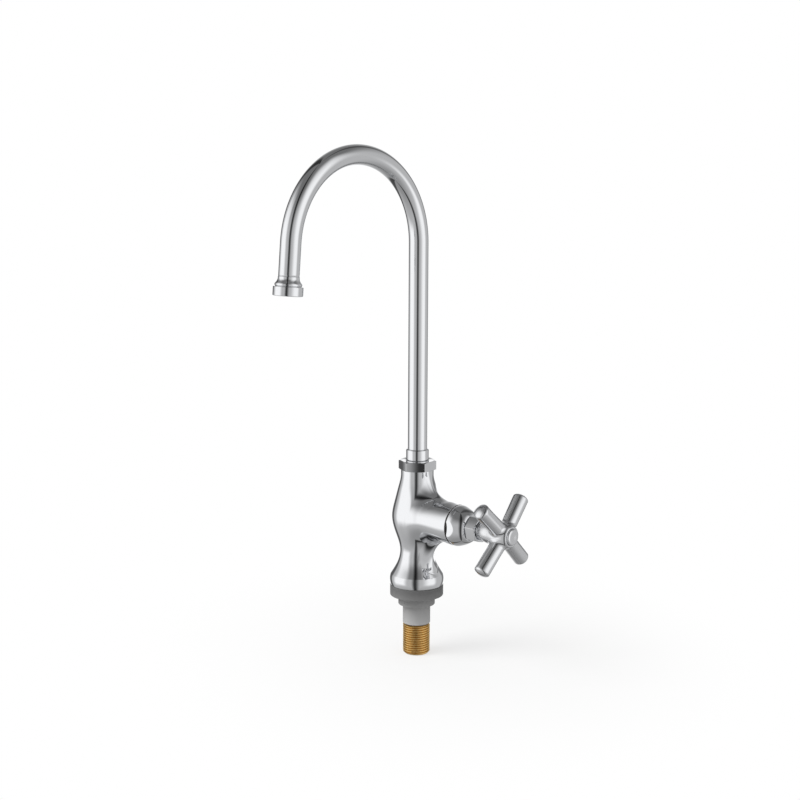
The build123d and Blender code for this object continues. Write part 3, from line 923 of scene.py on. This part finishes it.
def finish_with(tree, tint, roughness, normal, metallic):
    """The material's shader and output."""
    shader = add(tree, "BsdfPrincipled", {
        "Base Color": tint, "Metallic": metallic, "Roughness": roughness, "Normal": normal,
    })
    add(tree, "OutputMaterial", {"Surface": shader.outputs[0]})


# Levels between which most of the noise lies
haze_levels = (0.35, 0.7)
cloud_levels = (0.3, 0.7)


def chrome_plate(name, least_rough, most_rough):
    """Chrome plate on brass: a near mirror where it was buffed, softer where it was only sanded, a
    little blue-grey, with slow waviness from the wheel and a trace of haze where it was handled."""
    material, tree, place = new_material(name)
    wave_mm, wave_depth_mm, haze_mm = 9.0, 0.004, 14.0
    waves = noise(tree, place, wave_mm, detail=1.0)
    haze = noise(tree, place, haze_mm, detail=5.0)
    rough = remap(tree, haze, haze_levels, (least_rough, most_rough))
    finish_with(tree, colour("#dcdddf"), rough, bumped(tree, waves, wave_depth_mm), metallic=1.0)
    return material


def machined_brass(name, bright, dull, root_r, crest_r):
    """Brass bar as it left the lathe: fine rings from the tool, bright on the crests, with a brown
    film that gathers in the thread's roots and in patches."""
    material, tree, place = new_material(name)
    tool_mark_mm, tool_mark_depth_mm, patch_mm = 0.5, 0.02, 5.0
    film_contrast, film_cover = 0.9, 0.45
    roughness = (0.36, 0.5)
    parts = add(tree, "SeparateXYZ", {"Vector": place}).outputs
    flat = add(tree, "CombineXYZ", {"X": parts["X"], "Y": parts["Y"]}).outputs["Vector"]
    radius = add(tree, "VectorMath", {0: flat}, operation="LENGTH").outputs["Value"]
    depth = remap(tree, radius, (root_r * MM, crest_r * MM), curve="SMOOTHSTEP")
    patches = noise(tree, place, patch_mm, detail=4.0)
    worn = calculate(tree, "MULTIPLY_ADD", patches, film_contrast, -film_cover, held=True)
    bare = calculate(tree, "ADD", depth, worn, held=True)
    tint = mixed(tree, bare, colour(dull), colour(bright))
    rings = {"W": parts["Z"], "Scale": 1 / (tool_mark_mm * MM), "Detail": 3.0}
    marks = add(tree, "TexNoise", rings, noise_dimensions="1D").outputs["Fac"]
    normal = bumped(tree, marks, tool_mark_depth_mm, strength=0.5)
    finish_with(tree, tint, remap(tree, patches, cloud_levels, roughness), normal, metallic=1.0)
    return material


def moulded(name, shade, light, roughness, grain_mm, grain_depth_mm, painted_shading=None):
    """Moulded plastic, rubber or pressed fibre: one dye with slight clouding and the mould's fine grain.

    The last, optional argument is painted light and shade: a low and a high place and a pale colour.
    The colour is painted paler towards the low place, as light from below, and stays dark towards the
    high place, as shade under the part above.
    """
    material, tree, place = new_material(name)
    cloud_mm, roughness_spread = 11.0, 0.05
    cloud = noise(tree, place, cloud_mm, detail=3.0)
    grain = noise(tree, place, grain_mm, detail=2.0)
    tint = mixed(tree, cloud, colour(shade), colour(light))
    # Painted light and shade: the dye is painted paler towards the low place, as light from below, and stays
    # dark higher up, as shade under the part above
    if painted_shading:
        low, high, pale = painted_shading
        height = add(tree, "SeparateXYZ", {"Vector": place}).outputs["Z"]
        share = remap(tree, height, (low * MM, high * MM), (1.0, 0.0))
        tint = mixed(tree, share, tint, colour(pale))
    rough = remap(tree, cloud, cloud_levels, (roughness - roughness_spread, roughness + roughness_spread))
    finish_with(tree, tint, rough, bumped(tree, grain, grain_depth_mm), metallic=0.0)
    return material


def drawn_steel(name, tint, roughness):
    """Drawn or rolled steel with a thin bright coat: fine scratches and a soft shine."""
    material, tree, place = new_material(name)
    scratch_mm, scratch_depth_mm, roughness_spread = 0.6, 0.01, 0.06
    scratches = noise(tree, place, scratch_mm, detail=3.0)
    rough = remap(tree, scratches, (0.0, 1.0), (roughness - roughness_spread, roughness + roughness_spread))
    normal = bumped(tree, scratches, scratch_depth_mm, strength=0.6)
    finish_with(tree, colour(tint), rough, normal, metallic=1.0)
    return material


chrome = chrome_plate("buffed_chrome", least_rough=0.045, most_rough=0.075)
handle_chrome = chrome_plate("sanded_chrome", least_rough=0.14, most_rough=0.2)
tail_brass = machined_brass("machined_brass", "#ebc985", "#d2ab68", thread_r - thread_depth, thread_r)
valve_brass = machined_brass("clean_brass", "#d2ac6c", "#b08746", root_r=1.0, crest_r=6.0)
stainless_wire = drawn_steel("stainless_wire", "#b9babb", roughness=0.3)
zinc_plate = drawn_steel("zinc_plated_steel", "#b4b7bb", roughness=0.32)

# Name, shade and light of the dye, roughness, the grain's size and depth, and for the grey collar its
# painted light and shade
# Painted light and shade on the grey collar: darker just under the chrome foot, painted paler towards the
# sleeve's bottom
collar_painted_shading = (-22.0, 6.0, "#aeaeae")
grey_moulding = moulded("grey_glass_filled_nylon", "#606060", "#686868", 0.55, 0.35, 0.006, collar_painted_shading)
black_rubber = moulded("black_rubber", "#1c1c1d", "#232324", 0.6, 0.3, 0.006)
black_fibre = moulded("black_fibre", "#262321", "#332e2b", 0.7, 0.25, 0.01)
white_packing = moulded("white_packing_cord", "#d9d7cf", "#e3e1da", 0.75, 0.6, 0.03)
natural_nylon = moulded("natural_nylon", "#dedbcf", "#e6e3d8", 0.45, 0.4, 0.004)
white_acetal = moulded("white_acetal", "#dcdcd9", "#e4e4e1", 0.35, 0.4, 0.003)

cad_finishes = {
    "valve_seat": valve_brass, "bonnet_washer": black_fibre, "gland_packing": white_packing,
    "gland_follower": valve_brass, "spout_bush": natural_nylon, "thrust_washer": natural_nylon,
    "spout_o_rings": black_rubber, "aerator_washer": black_rubber, "aerator_insert": white_acetal,
    "jumper": valve_brass, "valve_washer": black_rubber, "washer_nut": valve_brass, "spindle": chrome,
    "handle_screw": zinc_plate,
}
for name, finish in cad_finishes.items():
    for material_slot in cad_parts[name].material_slots:
        material_slot.material = finish

packing_nut = hexagon_nut(
    packing_nut_flats, packing_nut_from, packing_nut_to,
    (packing_nut_chamfer, nut_chamfer), packing_nut_turn,
    nut_bore(stem_hole_r, gland_spigot_r, packing_nut_to, packing_nut_floor, packing_nut_from),
)
spout_nut = hexagon_nut(
    spout_nut_flats, neck_top, spout_nut_top,
    (nut_chamfer / 2, nut_chamfer), spout_nut_turn,
    nut_bore(spout_collar_r, socket_thread_r, spout_nut_top, spout_nut_top - spout_nut_lip, neck_top),
)

piece("body_casting", body_patches(), "tap_body", "body", chrome)
piece("bonnet_cover", bonnet_patches(), "tap_body", "bonnet", chrome)
piece("gland_nut", [on_valve(packing_nut)], "tap_body", "packing_nut", chrome)
piece("union_nut", [spout_nut], "tap_body", "spout_nut", chrome)
piece("grey_collar", collar_patches(), "tap_body", "deck_collar", grey_moulding)
piece("threaded_tail", inlet_tail_patches(), "tap_body", "inlet_tail", tail_brass)
piece("cross_handle", handle_patches(), "handle", "handle", handle_chrome)
piece("index_disc", index_patches(), "handle", "index_button", handle_chrome)
piece("spout_foot", spout_tail_patches(), "spout", "spout_tail", chrome)
piece("swan_neck", tube_patches(), "spout", "spout_tube", chrome)
piece("outlet_skirt", bell_patches(), "spout", "outlet_bell", chrome)
piece("aerator_ring", housing_patches(), "spout", "aerator_housing", chrome)
piece("woven_screen", aerator_mesh_patches(), "spout", "aerator_screen", stainless_wire)


# Camera, at the photograph's viewing angle
camera_place = (755.0, -832.2, 344.9)
camera_aim = (0.0, 0.0, 152.6)
camera_lens = 67.5
camera_sensor = 36.0
camera_shift = -0.0222
camera_roll = 0.34
view_turn = math.atan2(camera_place[1], camera_place[0])

# Floor: the white that the camera sees in it grows between two distances from the tap
floor_r = 460.0
floor_gap = 0.1
floor_rings = 12
floor_spokes = 96
floor_fade = (30.0, 280.0)
floor_white = (0.66, 1.0)
floor_shine = 0.15

# Studio, in degrees round from the camera's side and up from the horizon.  The room's own light has
# two heights and the light at each.  A panel starts, is full, is still full and ends, first round and
# then up, and has a brightness.  A gap has the same four turns and the share of light left in it.
room_above = (12, 55, 0.60, 0.20)
room_below = (-75, -25, -0.25, 0.0)
studio_panels = [
    ((-118, -96, -62, -38), (-34, -14, 30, 62), 0.66),
    ((18, 58, 74, 96), (-34, -14, 40, 72), 0.60),
    ((150, 160, 200, 210), (-40, -16, 6, 24), 0.6),
    ((-210, -200, -160, -150), (-40, -16, 6, 24), 0.6),
]
studio_gaps = [
    ((-26, -9, -6, 16), 0.07),
    ((-160, -148, -134, -122), 0.2),
    ((128, 138, 150, 160), 0.4),
]
matt_light = 0.62


def looking(place, aim, roll=0.0):
    """Matrix of a camera or lamp at a place in millimetres, its back turned away from its aim."""
    back = np.subtract(place, aim) / np.linalg.norm(np.subtract(place, aim))
    right = np.cross([0, 0, 1], back)
    right /= np.linalg.norm(right)
    up = np.cross(back, right)
    turn = math.radians(roll)
    level = right * math.cos(turn) + up * math.sin(turn)
    upright = up * math.cos(turn) - right * math.sin(turn)
    rows = np.eye(4)
    rows[:3] = np.stack([level, upright, back, np.multiply(place, MM)], axis=1)
    return Matrix(rows.tolist())


def place_camera():
    """A camera that looks from its place at its aim, rolled a third of a degree."""
    data = bpy.data.cameras.new("camera")
    data.lens = camera_lens
    data.sensor_width = camera_sensor
    data.shift_x = camera_shift
    camera = put("camera", data)
    camera.matrix_world = looking(camera_place, camera_aim, camera_roll)
    bpy.context.scene.camera = camera


def ray_kinds(tree):
    """Whether a ray comes from the camera, and whether it comes from something shiny."""
    rays = add(tree, "LightPath").outputs
    shiny = calculate(tree, "MAXIMUM", rays["Is Glossy Ray"], rays["Is Transmission Ray"])
    return rays["Is Camera Ray"], shiny


def lay_floor():
    """A pale matt board under the tail, a disc whose rim is as white as the backdrop.

    The camera sees plain white over the board, more of it towards the rim.
    """
    low = cad_bounds[0][2] - floor_gap * MM
    rings = np.linspace(0, 1, floor_rings + 1)[:, None]
    angles = around(floor_spokes)[None]
    points = polar(floor_r * MM * rings, angles, low)
    upward = grid_faces(floor_rings + 1, floor_spokes + 1)[:, ::-1]
    mesh = welded("floor", points.reshape(-1, 3), upward)
    floor = put("floor", mesh)
    material, tree, place = new_material("pale_matt_board")
    distance = add(tree, "VectorMath", {0: place}, operation="LENGTH").outputs["Value"]
    fade_from, fade_to = floor_fade
    rim = remap(tree, distance, (fade_from * MM, fade_to * MM), floor_white, "SMOOTHSTEP")
    from_camera, shiny = ray_kinds(tree)
    shiny_share = calculate(tree, "MULTIPLY", shiny, floor_shine)
    white_share = calculate(tree, "MULTIPLY_ADD", from_camera, rim, shiny_share, held=True)
    matt = add(tree, "BsdfDiffuse", {"Color": colour("#f0f0f0")})
    white = add(tree, "Emission", {"Color": colour("#ffffff"), "Strength": 1.0})
    mix = add(tree, "MixShader", {0: white_share, 1: matt.outputs[0], 2: white.outputs[0]})
    add(tree, "OutputMaterial", {"Surface": mix.outputs[0]})
    mesh.materials.append(material)
    floor.visible_glossy = False


def light_studio():
    """A white room with soft panels.

    The camera sees plain white, and matt pieces see an even light.  Metal sees the room: grey above
    and below, bright soft panels to the left and the right of the camera, the white backdrop behind
    the tap, a narrow dark gap beside the camera and a softer gap on either side of the backdrop.
    """
    world = bpy.data.worlds.new("studio")
    world.use_nodes = True
    bpy.context.scene.world = world
    tree = world.node_tree
    tree.nodes.clear()
    direction = add(tree, "TexCoord").outputs["Generated"]
    spin = {"Vector": direction, "Angle": -view_turn}
    spun = add(tree, "VectorRotate", spin, rotation_type="Z_AXIS").outputs["Vector"]
    parts = add(tree, "SeparateXYZ", {"Vector": spun}).outputs
    turn = calculate(tree, "ARCTAN2", parts["Y"], parts["X"])
    rise = calculate(tree, "ARCSINE", parts["Z"])

    def edge(value, start, end, low, high):
        """Smooth change from one level to another between two angles."""
        return remap(tree, value, (math.radians(start), math.radians(end)), (low, high), "SMOOTHSTEP")

    def panel(turns, heights, brightness):
        """The light of one panel."""
        left = edge(turn, turns[0], turns[1], 0.0, brightness)
        right = edge(turn, turns[2], turns[3], 1.0, 0.0)
        below = edge(rise, heights[0], heights[1], 0.0, 1.0)
        above = edge(rise, heights[2], heights[3], 1.0, 0.0)
        across = calculate(tree, "MULTIPLY", left, right)
        upright = calculate(tree, "MULTIPLY", below, above)
        return calculate(tree, "MULTIPLY", across, upright)

    room = calculate(tree, "ADD", edge(rise, *room_above), edge(rise, *room_below))
    for turns, heights, brightness in studio_panels:
        room = calculate(tree, "ADD", room, panel(turns, heights, brightness))
    for turns, light_left in studio_gaps:
        before = edge(turn, turns[0], turns[1], 1.0, light_left)
        after = edge(turn, turns[2], turns[3], light_left, 1.0)
        room = calculate(tree, "MULTIPLY", room, calculate(tree, "MAXIMUM", before, after))

    from_camera, shiny = ray_kinds(tree)
    plain, studio, white = (
        add(tree, "Background", {"Color": colour("#ffffff"), "Strength": strength}).outputs[0]
        for strength in (matt_light, room, 1.0)
    )
    seen = add(tree, "MixShader", {0: shiny, 1: plain, 2: studio}).outputs[0]
    seen = add(tree, "MixShader", {0: from_camera, 1: seen, 2: white}).outputs[0]
    add(tree, "OutputWorld", {"Surface": seen})


def hang_lamp(name, place, aim, size, power):
    """A soft square lamp that shapes the matt pieces and casts the floor's shadow."""
    data = bpy.data.lights.new(name, "AREA")
    data.shape = "SQUARE"
    data.size = size * MM
    data.energy = power
    lamp = put(name, data)
    lamp.matrix_world = looking(place, aim)
    lamp.visible_glossy = False
    lamp.visible_camera = False


place_camera()
lay_floor()
light_studio()
hang_lamp("key_lamp", place=(-500.0, -900.0, 1100.0), aim=(0.0, 0.0, 100.0), size=700.0, power=14.0)
bpy.context.scene.view_settings.view_transform = "Standard"
